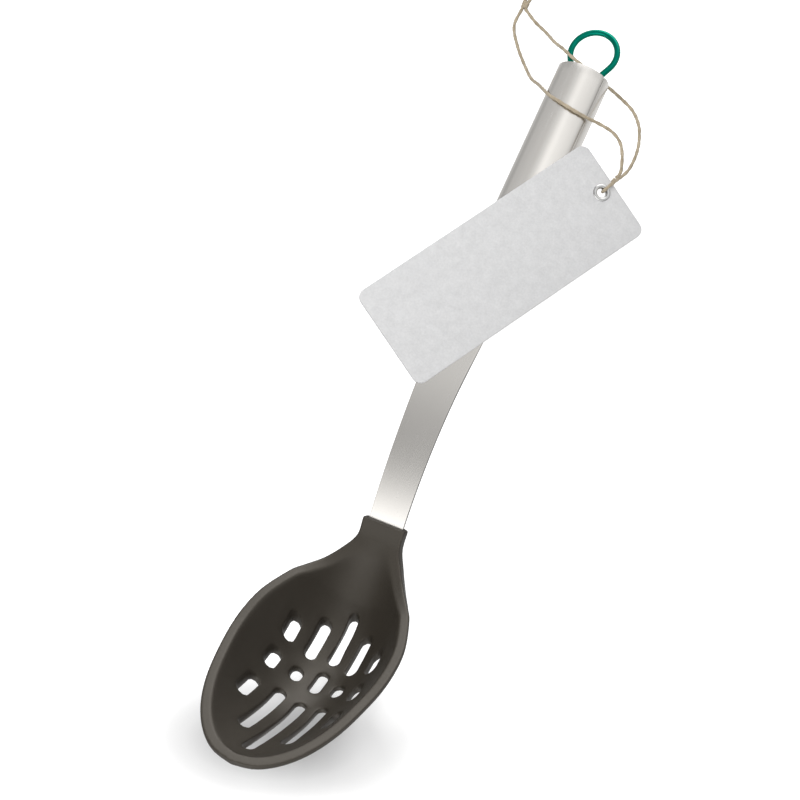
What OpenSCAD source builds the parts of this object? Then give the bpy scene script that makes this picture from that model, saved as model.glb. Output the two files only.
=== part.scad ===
// Slotted serving spoon: a moulded bowl on a bent steel shaft, whose end is the front of a
// round hollow handle, with a coated wire loop to hang it by and a card tag on twine.
// It lies on its back: +Z up, bowl towards -Y, hanging loop towards +Y, floor at z = 0.
// Most modules are drawn in the handle's frame, whose origin is the middle of the handle's
// closed end, with the handle running down -Y and its front up +Z; lay() then puts it down.

/* [Handle] */
// Outer diameter of the round handle
handle_d = 23.6; // [18:0.1:30]
// Length of the full round part, from the closed end
handle_l = 93; // [70:1:130]
// Length over which the round front fades into the flat strip
fade_l = 20; // [14:1:40]
// Height of the two weld seams above the handle's axis
seam_h = 5.3; // [3:0.1:6.5]
// Radius of the shoulder round the closed end
shoulder_r = 3; // [1.5:0.1:5]
// Sheet thickness of the back shell
shell_t = 0.9; // [0.6:0.1:1.5]
// Radius of the rounded nose that closes the back shell
nose_r = 26; // [20:1:40]

/* [Shaft] */
// Sheet thickness of the shaft and the front shell
strip_t = 1.5; // [1:0.1:2.2]
// Widest part of the flat strip, just ahead of the handle
flare_w = 22; // [18:0.1:28]
// Width of the strip where it enters the bowl's collar
neck_w = 15.7; // [12:0.1:18]
// Length of flat strip between the handle and the bend
flat_l = 28; // [10:1:60]
// Radius of the shaft's bend
bend_r = 190; // [120:1:300]
// Angle that the bend turns through
neck_angle = 22.2; // [10:0.5:32]
// Straight strip between the bend and the collar
neck_l = 0.5; // [0.5:0.5:30]
// Length of the tang inside the collar
tang_l = 19; // [12:0.5:22]
// Diameter of the two holes that lock the tang in the moulding
tang_hole_d = 4; // [2:0.1:6]
// Distance between the two tang holes
tang_hole_pitch = 8; // [6.5:0.1:10]

/* [Bowl] */
// Length of the bowl along its rim plane
bowl_l = 124.4; // [100:1:150]
// Greatest width of the bowl over its rim
bowl_w = 69.8; // [60:1:90]
// Depth of the bowl below its rim, inside
bowl_depth = 29; // [18:0.5:34]
// Angle between the rim plane and the handle
bowl_pitch = 30.3; // [15:0.5:40]
// Wall thickness of the bowl
bowl_wall = 2.6; // [1.8:0.1:4]
// Width of the flat band round the rim
rim_w = 3.9; // [2.5:0.1:5.5]
// Height of the rim's outer edge
rim_h = 2.2; // [1.8:0.1:4]
// Rounding of the rim's upper outer edge
rim_round = 0.8; // [0.3:0.1:1.5]
// Half of the collar's top wall above the middle of the tang
collar_top = 3.1; // [2.4:0.1:4.5]
// Thickness of the collar
collar_t = 7.2; // [6:0.1:10]
// Height of the collar's upright sides
collar_side = 4.6; // [3:0.1:6]
// How closely the moulding grips the tang
mould_clear = 0.02; // [0.01:0.01:0.1]

/* [Slots] */
// Width of every slot
slot_w = 5; // [4:0.1:6.5]
// Sideways distance between neighbouring columns of slots
column_pitch = 9.7; // [8:0.1:12]

/* [Hanging loop] */
// Diameter of the coated wire
sleeve_d = 2.7; // [2:0.1:4]
// Diameter of the bare wire inside the coating
wire_d = 1.9; // [1.2:0.1:3]
// Radius of the loop at the middle of the wire
loop_r = 10.3; // [8:0.1:14]
// Height of the loop's centre above the handle's end
loop_rise = 11.4; // [7:0.1:15]
// Angle of the two legs to the handle's axis
leg_angle = 26; // [10:1:35]
// Bend radius of the hooks that hold the wire inside the handle
hook_r = 2.6; // [2:0.1:3.5]
// How far a leg runs straight inside the handle before its hook
hook_depth = 3; // [2:0.1:8]
// Radial clearance of the wire in its holes
hole_clear = 0.1; // [0.05:0.05:0.3]
// Radial clearance of the wire in its coating
bore_clear = 0.03; // [0.01:0.01:0.1]

/* [Tag] */
// Length of the card tag
tag_l = 120.8; // [80:1:150]
// Width of the card tag
tag_w = 45.9; // [30:1:70]
// Thickness of the card
tag_t = 1.4; // [0.5:0.1:3]
// Corner radius of the card
tag_corner_r = 4; // [1:0.5:10]
// Gap between the handle and the tag that lies on it
tag_gap = 0.3; // [0.1:0.1:1]
// Angle of the tag's length to the handle
tag_turn = 30.2; // [0:1:90]
// Middle of the tag, sideways from the handle's axis
tag_x = -0.2; // [-20:0.2:20]
// Angle by which the tag leans round the handle, its eyelet's end down
tag_roll = 27; // [0:1:40]
// Middle of the tag, down from the handle's closed end
tag_y = 95.8; // [60:0.5:140]
// Distance of the eyelet's centre from the tag's end
eyelet_inset = 6.5; // [4.5:0.1:12]
// Distance of the eyelet's centre from the tag's middle line
eyelet_x = -1.2; // [-5:0.1:5]
// Bore of the eyelet
eyelet_bore_d = 4.2; // [3:0.1:7]
// Diameter of the eyelet's flange
eyelet_d = 7.6; // [6:0.1:11]
// Sheet thickness of the eyelet
eyelet_t = 0.4; // [0.2:0.05:0.8]
// Thickness of the washer behind the card
washer_t = 0.4; // [0.2:0.05:0.8]
// Radial clearance of the eyelet's barrel in the card and the washer
barrel_clear = 0.05; // [0.02:0.01:0.2]

/* [Twine] */
// Diameter of the twine
twine_d = 1.4; // [0.8:0.1:2.5]
// Thickness of the knot that joins the twine's two ends
knot_d = 3.4; // [2.5:0.1:5]

/* [Hidden] */
$fn = 64;

handle_r = handle_d / 2;
sleeve_r = sleeve_d / 2;
wire_r = wire_d / 2;
twine_r = twine_d / 2;
over = 1;
seam_half_w = sqrt(pow(handle_r, 2) - pow(seam_h, 2));
inner_r = handle_r - strip_t;
inner_half_w = sqrt(pow(inner_r, 2) - pow(seam_h, 2));
// the swept strip starts a little inside the turned shell that it joins
join_inset = 0.08;
join_l = 2;
// the nose's sphere reaches this much below the handle, so that the two don't graze
nose_clear = 0.2;

// Helpers
function mix(a, b, t) = a + (b - a) * t;
function smooth(t) = t * t * (3 - 2 * t);
function clamp01(t) = max(0, min(1, t));
// value at place k of a smooth curve through the entries of a list
function along(list, k) =
    let (last = len(list) - 1,
         i = min(floor(k), last - 1),
         f = k - i,
         b = list[i],
         c = list[i + 1],
         a = i == 0 ? 2 * b - c : list[i - 1],
         d = i + 2 > last ? 2 * c - b : list[i + 2])
    0.5 * (2 * b + (c - a) * f + (2 * a - 5 * b + 4 * c - d) * f * f
           + (3 * b - 3 * c + d - a) * f * f * f);
// quads between rings of n points, closed round each ring
function skin_faces(rings, n) =
    [for (k = [0:rings - 2], i = [0:n - 1])
        let (j = (i + 1) % n)
        each [[k * n + i, k * n + j, (k + 1) * n + i],
              [k * n + j, (k + 1) * n + j, (k + 1) * n + i]]];
// end face of a ring whose point i faces point n - 1 - i
function ladder_faces(first, n, flip) =
    [for (i = [0:n / 2 - 2])
        let (a = first + i, b = first + i + 1, c = first + n - 2 - i, d = first + n - 1 - i)
        each (flip ? [[a, b, c], [a, c, d]] : [[a, c, b], [a, d, c]])];

// Strip: places along the flat shaft, counted from the end of the full round handle
strip_z = seam_h + strip_t / 2;
level_l = fade_l + flat_l;
bend_l = bend_r * neck_angle * PI / 180;
collar_at = level_l + bend_l + neck_l;
tang_end = collar_at + tang_l;
// width of the strip between its neck (0) and its flare (1), at equal steps to the collar
strip_width_shares = [1, 1, 0.97, 0.81, 0.62, 0.43, 0.29, 0.18, 0.1, 0.04, 0];
function strip_angle(t) = clamp01((t - level_l) / bend_l) * neck_angle;
function strip_place(t) =
    t <= level_l ? [0, -handle_l - t, strip_z]
    : t <= level_l + bend_l ?
        let (a = strip_angle(t))
        [0, -handle_l - level_l - bend_r * sin(a), strip_z - bend_r * (1 - cos(a))]
    : let (a = neck_angle, rest = t - level_l - bend_l)
        [0, -handle_l - level_l - bend_r * sin(a) - rest * cos(a),
         strip_z - bend_r * (1 - cos(a)) - rest * sin(a)];
function strip_half_w(t) =
    mix(neck_w, flare_w, along(strip_width_shares,
        clamp01(t / collar_at) * (len(strip_width_shares) - 1))) / 2;
// height of a crown of half width w and rise h, at x
function crown(x, w, h) =
    h < join_inset ? 0
    : let (r = (w * w + h * h) / (2 * h)) sqrt(max(0, r * r - x * x)) - (r - h);
strip_points = 7;
function strip_ring(t) =
    let (round_share = 1 - smooth(clamp01(t / fade_l)),
         flat_w = strip_half_w(t),
         top_w = mix(flat_w, seam_half_w - join_inset, round_share),
         low_w = mix(flat_w, inner_half_w + join_inset, round_share),
         top_h = mix(strip_t / 2, -strip_t / 2 + join_inset, round_share),
         top_rise = round_share * (handle_r - seam_h - 2 * join_inset),
         low_rise = round_share * (inner_r - seam_h + join_inset),
         place = strip_place(t),
         a = strip_angle(t),
         up = [0, -sin(a), cos(a)])
    [for (i = [-strip_points:strip_points])
        let (x = top_w * i / strip_points)
        place + [x, 0, 0] + up * (top_h + crown(x, top_w, top_rise)),
     for (i = [-strip_points:strip_points])
        let (x = -low_w * i / strip_points)
        place + [x, 0, 0] + up * (-strip_t / 2 + join_inset * round_share
                                  + crown(x, low_w, low_rise))];
fade_steps = 10;
flat_steps = 3;
bend_steps = 20;
strip_stations = [
    -join_l,
    for (i = [0:fade_steps]) fade_l * i / fade_steps,
    for (i = [1:flat_steps]) fade_l + flat_l * i / flat_steps,
    for (i = [1:bend_steps]) level_l + bend_l * i / bend_steps,
    collar_at,
    tang_end];

// Bowl: the rim runs from the collar (first entry) to the tip (last entry)
// places along the rim plane, and heights over it, as shares of the bowl's length
rim_along_shares = [0.005, 0.045, 0.092, 0.146, 0.202, 0.25, 0.37, 0.5, 0.63, 0.75, 0.85, 0.926, 0.975,
                     0.992];
rim_height_shares = [0.114, 0.06, 0.029, 0.008, 0.006, 0.006, 0.004, 0, 0, 0, 0, 0, 0, 0];
// how much of the turn from the shaft's slope to the rim plane is still to come
turn_shares = [1, 1, 0.92, 0.71, 0.42, 0.08, 0, 0, 0, 0, 0, 0, 0, 0];
// half width, as a share of half the bowl's width
bowl_width_shares = [0.28, 0.287, 0.394, 0.538, 0.694, 0.81, 0.966, 1, 0.945, 0.848, 0.7, 0.505,
                     0.272, 0];
// depth along the middle, as a share of the bowl's depth
bowl_depth_shares = [0, 0, 0.07, 0.24, 0.5, 0.85, 1, 0.98, 0.866, 0.62, 0.37, 0.169, 0.048, 0];
// how much of the section is still collar
collar_shares = [1, 1, 1.05, 1.05, 0.63, 0.17, 0.04, 0, 0, 0, 0, 0, 0, 0];
// how much of the sides' height and squareness is still collar
side_shares = [1, 1, 0.9, 0.6, 0.3, 0.1, 0, 0, 0, 0, 0, 0, 0, 0];
// how far the rim band leans along the bowl instead of across it
lean_shares = [0, 0, 0.2, 0.5, 0.55, 0.45, 0.2, 0, -0.13, -0.31, -0.56, -0.78, -0.94, -1];
// how steeply the floor of the bowl turns up into its sides, inside and outside
floor_power = 2.24;
collar_power = 3;
neck_turn = bowl_pitch + neck_angle;
function ahead(a) = [0, -cos(a), sin(a)];
function above(a) = [0, sin(a), cos(a)];
collar_place = strip_place(collar_at);
rim_start = collar_place + above(-neck_angle) * collar_top;
bowl_origin = rim_start - ahead(bowl_pitch) * rim_along_shares[0] * bowl_l
              - above(bowl_pitch) * rim_height_shares[0] * bowl_l;
function rim_place(k) =
    bowl_origin + ahead(bowl_pitch) * along(rim_along_shares, k) * bowl_l
    + above(bowl_pitch) * along(rim_height_shares, k) * bowl_l;
bowl_points = 7;
under_points = 10;
function bowl_ring(k) =
    let (place = rim_place(k),
         a = bowl_pitch - neck_turn * max(0, along(turn_shares, k)),
         up = above(a),
         collar = max(0, along(collar_shares, k)),
         half_w = along(bowl_width_shares, k) * bowl_w / 2,
         depth = max(0, along(bowl_depth_shares, k)) * bowl_depth,
         floor_t = mix(bowl_wall, collar_t, collar),
         side = max(0, along(side_shares, k)),
         edge = mix(rim_h, collar_side, side),
         lean = max(-1, min(1, along(lean_shares, k))),
         band = min(rim_w, half_w * 0.9 / max(sqrt(1 - lean * lean), 0.01)),
         in_w = half_w - band * sqrt(1 - lean * lean),
         in_place = place + ahead(a) * rim_w * lean,
         out_power = floor_power + collar_power * side * side,
         soft = rim_round * min(1, half_w / rim_w),
         corner = [[-half_w + soft, 0], [-half_w + soft * 0.3, -soft * 0.3], [-half_w, -soft]])
    [for (i = [2:-1:0]) place + [corner[i][0], 0, 0] + up * corner[i][1],
     for (i = [-bowl_points:bowl_points])
        let (u = i / bowl_points)
        in_place + [in_w * u, 0, 0] - up * depth * (1 - pow(abs(u), floor_power)),
     for (c = corner) place + [-c[0], 0, 0] + up * c[1],
     for (i = [under_points:-1:-under_points])
        let (u = i / under_points)
        place + [half_w * u, 0, 0]
        - up * (edge + (depth + floor_t - edge) * (1 - pow(abs(u), out_power)))];
ring_step = 0.25;
tip_stations = [12.65, 12.8, 12.9];
bowl_stations = [for (k = [0:ring_step:tip_stations[0]]) k, each tip_stations];
bowl_ring_n = 4 * under_points + 2;
bowl_rings = [for (k = bowl_stations) bowl_ring(k)];

// Slots: column, then start and end along the rim plane as shares of the bowl's length
slot_shares = [
    [0, 0.193, 0.371], [1, 0.248, 0.392], [2, 0.313, 0.399],
    [0, 0.408, 0.501], [1, 0.44, 0.494], [2, 0.447, 0.524],
    [0, 0.559, 0.908], [1, 0.553, 0.807], [2, 0.588, 0.692]];

// Resting place: the handle's end and the bowl both touch the floor
heel_y = -shoulder_r;
heel_z = -(handle_r - shoulder_r);
function heel_low(a) = heel_z * cos(a) - heel_y * sin(a) - shoulder_r;
function bowl_low(a) = min([for (ring = bowl_rings, p = ring) p[2] * cos(a) - p[1] * sin(a)]);
function lie_between(lo, hi, steps) =
    let (mid = (lo + hi) / 2)
    steps == 0 ? mid
    : bowl_low(mid) > heel_low(mid) ? lie_between(lo, mid, steps - 1)
    : lie_between(mid, hi, steps - 1);
lie_angle = lie_between(-10, 20, 16);
floor_drop = heel_low(lie_angle);
tip_y = min([for (ring = bowl_rings, p = ring) p[1] * cos(lie_angle) + p[2] * sin(lie_angle)]);
loop_end_y = (loop_rise + loop_r) * cos(lie_angle) + sleeve_r;
middle_y = (tip_y + loop_end_y) / 2;
module lay() {
    translate([0, -middle_y, -floor_drop]) rotate([-lie_angle, 0, 0]) children();
}

// Loop: foot of a leg on the handle's end, and where the leg leaves the round of the loop
foot_x = (loop_r - loop_rise * sin(leg_angle)) / cos(leg_angle);
leg_top = [loop_r * cos(leg_angle), loop_rise - loop_r * sin(leg_angle)];
leg_out_l = leg_top[1] / cos(leg_angle);
sleeve_in_l = shell_t * 2;
// a straight leg runs this far into the bent stretches, this much thinner than they are
wire_lap = 0.3;
wire_step = 0.02;
leg_in_l = hook_depth / cos(leg_angle);

tag_low_z = handle_r + tag_gap;
eyelet_y = tag_l / 2 - eyelet_inset;

// Twine: routes through round numbers, a ring at every half step between two of them
cord_sides = 8;
cord_step = 0.5;
function unit(v) = v / norm(v);
function cord_rings(route, step) =
    let (points = [for (k = [0:step:len(route) - 1]) along(route, k)],
         last = len(points) - 1,
         dirs = [for (i = [0:last]) unit(points[min(i + 1, last)] - points[max(i - 1, 0)])],
         sides = [for (i = 0, side = unit(cross(dirs[0], [1, 1, 1]));
                       i <= last;
                       i = i + 1, side = i > last ? side : unit(side - (side * dirs[i]) * dirs[i]))
                      side])
    [for (i = [0:last])
        [for (j = [0:cord_sides - 1])
            let (a = j * 360 / cord_sides)
            points[i] + twine_r * (cos(a) * sides[i] - sin(a) * cross(dirs[i], sides[i]))]];
// through the eyelet, in the tag's frame with the eyelet's axis at its origin: over the
// tag's end, down through the eyelet and back under the card
eyelet_route_turn = 8;
eyelet_step = 0.5;
eyelet_route = [
    [0.4, 9.7, 0.95], [0.3, 8, 1.7], [0.2, 6.2, 2.35], [0, 4.3, 2.6], [0, 2.5, 2.45],
    [0, 1.15, 0.4], [0, 2.5, -1.6], [0, 4.5, -1.65], [-0.2, 6.5, -1.3], [-0.4, 8.2, -1.1],
    [-0.5, 9.7, -0.95]];
// from the eyelet over the front of the handle, along the floor to the knot
over_handle_route = [
    [31.3, 112.5, 10.5], [31.5, 113.8, 9.5], [31.8, 115.9, 9.6], [31.2, 118.4, 9.9],
    [29.7, 123, 11], [27, 127.4, 12.2], [22.4, 130.3, 13.5], [16, 131.4, 15.4],
    [11, 130.8, 20], [5.7, 130.7, 24.6], [-1, 132.1, 25.6], [-7.5, 134.5, 23.1],
    [-12.7, 138.1, 17.6], [-17.7, 141.7, 11.4], [-23.9, 145.5, 5.3], [-30.1, 151.3, 1.2],
    [-37.5, 159.5, 0.9], [-43, 168.4, 0.9], [-42.7, 177.3, 1.3]];
// from the eyelet along the floor past the handle's end, up through the hanging loop,
// over its left leg and down to the knot
through_loop_route = [
    [32.9, 112.2, 11.8], [33.3, 113.2, 11], [34.1, 115.4, 10.2], [34.7, 118.7, 9],
    [34.5, 124.7, 7.2], [33.4, 130.4, 5.4], [31.3, 136.1, 3.6], [28.5, 141.2, 1.9],
    [23.4, 146.6, 0.9], [16.4, 150.4, 0.8], [9.4, 153.5, 0.8], [2.8, 155.9, 2],
    [-1.3, 156.3, 6.3], [-3.9, 156.3, 11.6], [-8.8, 157.8, 13.7], [-13.8, 160.5, 12.1],
    [-20, 164, 7.4], [-27.2, 169, 2.6], [-34.6, 173, 0.9], [-41.1, 177.3, 1.3]];
knot_place = [-41.9, 179, 1.7];
tail_step = 1;
tail_routes = [
    [[-42.5, 180, 1.6], [-43.6, 184, 1.1], [-45.5, 189, 0.8]],
    [[-41.3, 180, 1.6], [-40.4, 184.5, 1.1], [-40.8, 190, 0.8]]];

// Turned solids of the handle
module along_y() {
    rotate([-90, 0, 0]) children();
}
// solid of revolution of radius r with a rounded closed end at y = -inset
module rounded_bar(r, inset, length) {
    corner = max(shoulder_r - inset, over / 10);
    along_y() rotate_extrude() {
        translate([0, -length]) square([r, length - inset - corner]);
        translate([0, -inset - corner - over]) square([r - corner, corner + over]);
        intersection() {
            translate([r - corner, -inset - corner]) circle(corner);
            translate([0, -inset - corner]) square([r, corner]);
        }
    }
}
module slab_above(z, y_from, y_to) {
    translate([-handle_d, y_from, z]) cube([2 * handle_d, y_to - y_from, 2 * handle_d]);
}

module wire_path(r, inner_l) {
    translate([0, loop_rise, 0]) rotate([0, 0, -leg_angle])
        rotate_extrude(angle = 180 + 2 * leg_angle) translate([loop_r, 0]) circle(r);
    for (side = [0, 1]) mirror([side, 0, 0])
        translate([leg_top[0], leg_top[1], 0]) rotate([0, 0, -leg_angle])
            rotate([90, 0, 0]) translate([0, 0, -wire_lap])
                cylinder(r = r - wire_step, h = wire_lap + leg_out_l + inner_l);
}

module bowl_solid() {
    count = len(bowl_rings);
    polyhedron(
        points = [for (ring = bowl_rings) each ring],
        faces = concat(skin_faces(count, bowl_ring_n),
                       ladder_faces(0, bowl_ring_n, false),
                       ladder_faces((count - 1) * bowl_ring_n, bowl_ring_n, true)));
}

module slot(column, from_share, to_share) {
    length = (to_share - from_share) * bowl_l;
    deep = bowl_depth + bowl_wall + 2 * over;
    translate(bowl_origin) rotate([-bowl_pitch, 0, 0])
        translate([column * column_pitch, -from_share * bowl_l, -deep]) {
            translate([0, -slot_w / 2, 0]) cylinder(d = slot_w, h = deep + over);
            translate([0, -length + slot_w / 2, 0]) cylinder(d = slot_w, h = deep + over);
            translate([-slot_w / 2, -length + slot_w / 2, 0])
                cube([slot_w, length - slot_w, deep + over]);
        }
}

module at_collar() {
    translate(collar_place) rotate([neck_angle, 0, 0]) children();
}
module tang_holes(d, height) {
    for (side = [-1, 1])
        translate([side * tang_hole_pitch / 2, -tang_l / 2, -height / 2]) cylinder(d = d, h = height);
}

module bowl() color([0.24, 0.22, 0.2]) lay() {
    pocket_w = neck_w + 2 * mould_clear;
    pocket_t = strip_t + 2 * mould_clear;
    difference() {
        bowl_solid();
        at_collar() translate([-pocket_w / 2, -tang_l - mould_clear, -pocket_t / 2])
            cube([pocket_w, tang_l + mould_clear + over, pocket_t]);
        for (s = slot_shares) {
            slot(s[0], s[1], s[2]);
            if (s[0] > 0) slot(-s[0], s[1], s[2]);
        }
    }
    at_collar() tang_holes(tang_hole_d - 2 * mould_clear, pocket_t + 2 * mould_clear);
}

module shaft_front_shell() color([0.78, 0.77, 0.75]) lay() {
    intersection() {
        difference() {
            rounded_bar(handle_r, 0, handle_l);
            rounded_bar(inner_r, strip_t, handle_l + over);
        }
        slab_above(seam_h, -handle_l - over, over);
    }
    difference() {
        polyhedron(
            points = [for (t = strip_stations) each strip_ring(t)],
            faces = concat(skin_faces(len(strip_stations), 4 * strip_points + 2),
                           ladder_faces(0, 4 * strip_points + 2, false),
                           ladder_faces((len(strip_stations) - 1) * (4 * strip_points + 2),
                                        4 * strip_points + 2, true)));
        at_collar() tang_holes(tang_hole_d, 2 * strip_t);
    }
}

module nose_limit(shrink) {
    translate([0, -handle_l, nose_r - handle_r - nose_clear]) sphere(nose_r - shrink);
    translate([-handle_d, -handle_l, -handle_d]) cube([2 * handle_d, handle_l + over, 2 * handle_d]);
}
module back_shell() color([0.74, 0.73, 0.71]) lay() {
    reach = handle_l + nose_r;
    difference() {
        intersection() {
            rounded_bar(handle_r, 0, reach);
            nose_limit(0);
        }
        intersection() {
            rounded_bar(handle_r - shell_t, shell_t, reach + over);
            nose_limit(shell_t);
        }
        slab_above(seam_h, -reach - over, over);
        for (side = [0, 1]) mirror([side, 0, 0])
            translate([leg_top[0], leg_top[1], 0]) rotate([0, 0, -leg_angle]) rotate([90, 0, 0])
                cylinder(r = sleeve_r + hole_clear, h = leg_out_l + leg_in_l);
    }
}

module loop_wire() color([0.7, 0.7, 0.7]) lay() {
    wire_path(wire_r, leg_in_l + wire_lap);
    for (side = [0, 1]) mirror([side, 0, 0])
        translate([foot_x - hook_depth * tan(leg_angle), -hook_depth, 0])
            rotate([0, 0, -leg_angle]) translate([hook_r, 0, 0])
                rotate([0, 0, 180]) rotate_extrude(angle = 90 + leg_angle)
                    translate([hook_r, 0]) circle(wire_r);
}

module loop_sleeve() color([0, 0.5, 0.38]) lay() difference() {
    wire_path(sleeve_r, sleeve_in_l);
    wire_path(wire_r + bore_clear, sleeve_in_l + over);
}

module on_tag() {
    rotate([0, tag_roll, 0]) translate([tag_x, -tag_y, tag_low_z]) rotate([0, 0, -tag_turn]) children();
}
module tag() color([0.85, 0.86, 0.87]) lay() on_tag() difference() {
    linear_extrude(tag_t) union() {
        square([tag_w - 2 * tag_corner_r, tag_l], center = true);
        square([tag_w, tag_l - 2 * tag_corner_r], center = true);
        for (x = [-1, 1], y = [-1, 1])
            translate([x * (tag_w / 2 - tag_corner_r), y * (tag_l / 2 - tag_corner_r)])
                circle(tag_corner_r);
    }
    translate([eyelet_x, eyelet_y, -over])
        cylinder(d = eyelet_bore_d + 2 * (eyelet_t + barrel_clear), h = tag_t + 2 * over);
}

module eyelet() color([0.75, 0.75, 0.77]) lay() on_tag() translate([eyelet_x, eyelet_y, 0])
    rotate_extrude() {
        translate([eyelet_bore_d / 2, -eyelet_t - washer_t])
            square([eyelet_t, tag_t + washer_t + 2 * eyelet_t]);
        for (y = [-eyelet_t - washer_t, tag_t])
            translate([eyelet_bore_d / 2, y]) square([(eyelet_d - eyelet_bore_d) / 2, eyelet_t]);
    }

module eyelet_washer() color([0.72, 0.72, 0.74]) lay() on_tag()
    translate([eyelet_x, eyelet_y, -washer_t])
    difference() {
        cylinder(d = eyelet_d + 2 * eyelet_t, h = washer_t);
        translate([0, 0, -over])
            cylinder(d = eyelet_bore_d + 2 * (eyelet_t + barrel_clear), h = washer_t + 2 * over);
    }

module cord(route, step = cord_step) {
    rings = cord_rings(route, step);
    count = len(rings);
    polyhedron(
        points = [for (ring = rings) each ring],
        faces = concat(skin_faces(count, cord_sides),
                       [[for (i = [cord_sides - 1:-1:0]) i]],
                       [[for (i = [0:cord_sides - 1]) (count - 1) * cord_sides + i]]));
}

module twine_through_eyelet() color([0.72, 0.67, 0.57]) lay() on_tag()
    translate([eyelet_x, eyelet_y, 0]) rotate([0, 0, eyelet_route_turn])
        cord(eyelet_route, eyelet_step);

module twine_over_handle() color([0.72, 0.67, 0.57]) cord(over_handle_route);

module twine_through_loop() color([0.72, 0.67, 0.57]) cord(through_loop_route);

module knot() color([0.72, 0.67, 0.57]) {
    translate(knot_place) sphere(d = knot_d);
    for (tail = tail_routes) cord(tail, tail_step);
}

bowl();
shaft_front_shell();
back_shell();
loop_wire();
loop_sleeve();
tag();
eyelet();
eyelet_washer();
twine_through_eyelet();
twine_over_handle();
twine_through_loop();
knot();
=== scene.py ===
import math

import bmesh
import bpy
import numpy as np
from mathutils import Matrix, Quaternion, Vector


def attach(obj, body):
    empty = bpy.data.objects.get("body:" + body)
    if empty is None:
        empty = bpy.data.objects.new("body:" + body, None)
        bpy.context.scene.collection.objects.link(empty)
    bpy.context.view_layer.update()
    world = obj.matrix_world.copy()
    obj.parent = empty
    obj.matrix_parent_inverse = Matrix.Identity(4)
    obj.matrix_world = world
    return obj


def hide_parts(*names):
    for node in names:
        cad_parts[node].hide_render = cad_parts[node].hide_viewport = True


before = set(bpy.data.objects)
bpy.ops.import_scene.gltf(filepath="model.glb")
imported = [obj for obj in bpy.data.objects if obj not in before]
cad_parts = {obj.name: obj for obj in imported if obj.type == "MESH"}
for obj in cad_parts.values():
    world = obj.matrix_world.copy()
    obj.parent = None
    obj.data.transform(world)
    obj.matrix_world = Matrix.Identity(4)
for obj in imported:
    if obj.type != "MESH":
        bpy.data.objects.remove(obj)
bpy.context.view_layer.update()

# The pieces' sizes are in millimetres, as in the part's source, until they reach a mesh.
# The camera, the lamps, the floor's shade and the finishes are in metres. Angles are in degrees.
MM = 0.001

# How the spoon lies: its tilt, and the middle and floor of its own frame
LIE_ANGLE = 3.41454
MIDDLE_Y = -151.255
FLOOR_DROP = -11.6057

# Sizes of the handle and shaft
HANDLE_R = 11.8
HANDLE_L = 93.0
FADE_L = 20.0
SEAM_H = 5.3
SHOULDER_R = 3.0
SHELL_T = 0.9
NOSE_R = 26.0
NOSE_CLEAR = 0.2
STRIP_T = 1.5
FLARE_W = 22.0
NECK_W = 15.7
FLAT_L = 28.0
BEND_R = 190.0
NECK_ANGLE = 22.2
NECK_L = 0.5
TANG_L = 19.0
# How wide the shaft is, from as at the neck (0) to as at the flare (1), at even steps
STRIP_WIDTH_SHARES = [1, 1, 0.97, 0.81, 0.62, 0.43, 0.29, 0.18, 0.1, 0.04, 0]

# Sizes of the bowl
BOWL_L = 124.4
BOWL_W = 69.8
BOWL_DEPTH = 29.0
BOWL_PITCH = 30.3
BOWL_WALL = 2.6
RIM_W = 3.9
RIM_H = 2.2
COLLAR_TOP = 3.1
COLLAR_T = 7.2
COLLAR_SIDE = 4.6
FLOOR_POWER = 2.24
COLLAR_POWER = 3.0
BAND_SHARE = 0.9
LEAST_HALF_W = 0.05
# The bowl's form at 14 places from the collar (0) to the tip (13), in shares of its sizes
RIM_ALONG_SHARES = [0.005, 0.045, 0.092, 0.146, 0.202, 0.25, 0.37, 0.5, 0.63, 0.75, 0.85,
                    0.926, 0.975, 0.992]
RIM_HEIGHT_SHARES = [0.114, 0.06, 0.029, 0.008, 0.006, 0.006, 0.004, 0, 0, 0, 0, 0, 0, 0]
TURN_SHARES = [1, 1, 0.92, 0.71, 0.42, 0.08, 0, 0, 0, 0, 0, 0, 0, 0]
BOWL_WIDTH_SHARES = [0.28, 0.287, 0.394, 0.538, 0.694, 0.81, 0.966, 1, 0.945, 0.848, 0.7,
                     0.505, 0.272, 0]
BOWL_DEPTH_SHARES = [0, 0, 0.07, 0.24, 0.5, 0.85, 1, 0.98, 0.866, 0.62, 0.37, 0.169, 0.048, 0]
COLLAR_SHARES = [1, 1, 1.05, 1.05, 0.63, 0.17, 0.04, 0, 0, 0, 0, 0, 0, 0]
SIDE_SHARES = [1, 1, 0.9, 0.6, 0.3, 0.1, 0, 0, 0, 0, 0, 0, 0, 0]
LEAN_SHARES = [0, 0, 0.2, 0.5, 0.55, 0.45, 0.2, 0, -0.13, -0.31, -0.56, -0.78, -0.94, -1]
SLOT_W = 5.0
COLUMN_PITCH = 9.7
# The slots on the middle line and right of it: column, start and end along the bowl
SLOT_SHARES = [(0, 0.193, 0.371), (1, 0.248, 0.392), (2, 0.313, 0.399),
               (0, 0.408, 0.501), (1, 0.44, 0.494), (2, 0.447, 0.524),
               (0, 0.559, 0.908), (1, 0.553, 0.807), (2, 0.588, 0.692)]

# Soft forms of the bowl: the rim's inner edge, a dish round each slot, and the slots' draft
RIM_ROLL = 0.75
RIM_CORNER = 0.3
DISH_W = 2.3
DISH_DEPTH = 0.11
# How soon a dish fades out where the surface turns away from facing up
DISH_FADE = 2.5
SLOT_DRAFT = 0.42
SLOT_DRAFT_DEPTH = 0.8 * BOWL_WALL

# Sizes of the hanging loop
SLEEVE_R = 1.35
LOOP_R = 10.3
LOOP_RISE = 11.4
LEG_ANGLE = 26.0
SLEEVE_IN = 1.6
SLEEVE_SIDES = 28

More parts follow.
